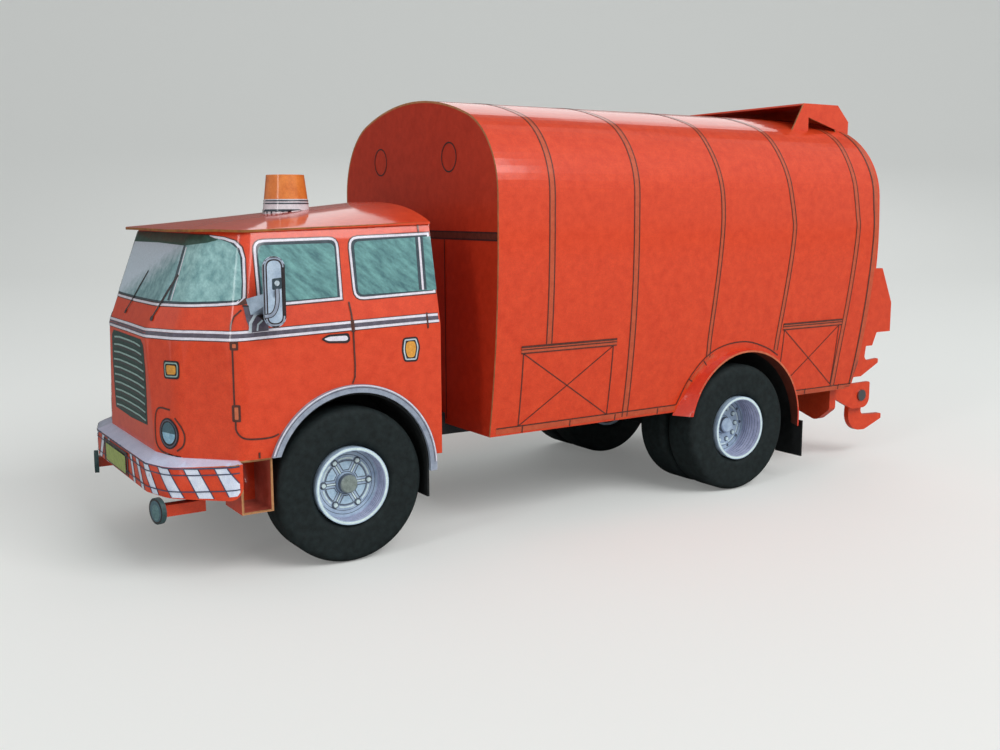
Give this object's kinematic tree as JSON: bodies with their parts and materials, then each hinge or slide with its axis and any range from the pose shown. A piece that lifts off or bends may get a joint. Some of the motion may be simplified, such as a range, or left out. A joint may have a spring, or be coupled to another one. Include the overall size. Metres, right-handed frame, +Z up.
{
  "type": "card model of a garbage truck",
  "caption": "Printed card model of a garbage truck with a flat-nosed cab, an arched load body, free-rolling wheels and a hinged bin lifter.",
  "frame": {"origin": "on the ground plane under the middle of the truck's overall length and width", "axes": "+X forward, +Y to the truck's left, +Z up; the tyres stand on z = 0"},
  "size_m": [0.2244, 0.083, 0.1045],
  "materials": {
    "orange_card": "glossy printed card with clear lacquer",
    "red_card": "matt printed card",
    "black_card": "matt printed card",
    "grey_card": "printed card",
    "tyre_card": "laminated card, painted black",
    "rim_card": "printed card",
    "bumper_card": "printed card with red and white stripes",
    "lamp_card": "printed card",
    "mirror_card": "printed card",
    "beacon_card": "printed card with clear lacquer",
    "band_card": "printed card with dark bands",
    "frame_card": "painted grey board",
    "wire": "steel wire"
  },
  "bodies": {
    "root": {"front_axle": "frame_card", "rear_axle": "frame_card", "front_springs": "frame_card", "rear_springs": "frame_card", "frame": "frame_card", "engine_and_gearbox": "frame_card", "drive_shaft": "frame_card", "cab_shell": "orange_card", "cab_roof": "orange_card", "cab_rear_wall": "orange_card", "cab_floor": "black_card", "front_wheel_liner_left": "black_card", "front_wheel_liner_right": "black_card", "front_arch_trim_left": "grey_card", "front_arch_trim_right": "grey_card", "beacon_band": "band_card", "beacon_lens": "beacon_card", "front_bumper": "bumper_card", "driving_lamps": "lamp_card", "driving_lamp_arms": "orange_card", "step_box_left": "red_card", "step_box_right": "red_card", "mirror_left": "mirror_card", "mirror_right": "mirror_card", "body_shell": "orange_card", "body_front_wall": "orange_card", "body_rear_wall": "orange_card", "body_floor": "black_card", "rear_mudguard_left": "orange_card", "rear_mudguard_right": "orange_card", "rear_wheel_liner_left": "black_card", "rear_wheel_liner_right": "black_card", "mud_flaps": "black_card", "hood": "orange_card", "lifter_brackets": "orange_card", "lifter_lugs": "orange_card", "rear_beam": "red_card", "lifter_pins": "wire"},
    "wheel_front_left": {"tyre_front_left": "tyre_card", "rim_front_left": "rim_card"},
    "wheel_front_right": {"tyre_front_right": "tyre_card", "rim_front_right": "rim_card"},
    "wheel_rear_left": {"tyre_rear_left_outer": "tyre_card", "tyre_rear_left_inner": "tyre_card", "rim_rear_left": "rim_card"},
    "wheel_rear_right": {"tyre_rear_right_outer": "tyre_card", "tyre_rear_right_inner": "tyre_card", "rim_rear_right": "rim_card"},
    "lifter_fork": {"lifter_fork": "orange_card"}
  },
  "joints": [
    {"name": "wheel_front_left_spin", "type": "hinge", "parent": "root", "child": "wheel_front_left", "pos_m": [0.07259, 0.033, 0.017], "axis": [0, 1, 0], "continuous": true},
    {"name": "wheel_front_right_spin", "type": "hinge", "parent": "root", "child": "wheel_front_right", "pos_m": [0.07259, -0.033, 0.017], "axis": [0, 1, 0], "continuous": true},
    {"name": "wheel_rear_left_spin", "type": "hinge", "parent": "root", "child": "wheel_rear_left", "pos_m": [-0.04061, 0.03, 0.017], "axis": [0, 1, 0], "continuous": true},
    {"name": "wheel_rear_right_spin", "type": "hinge", "parent": "root", "child": "wheel_rear_right", "pos_m": [-0.04061, -0.03, 0.017], "axis": [0, 1, 0], "continuous": true},
    {"name": "lifter_swing", "type": "hinge", "parent": "root", "child": "lifter_fork", "pos_m": [-0.10001, 0, 0.019], "axis": [0, 1, 0], "range_deg": [0, 120]}
  ]
}
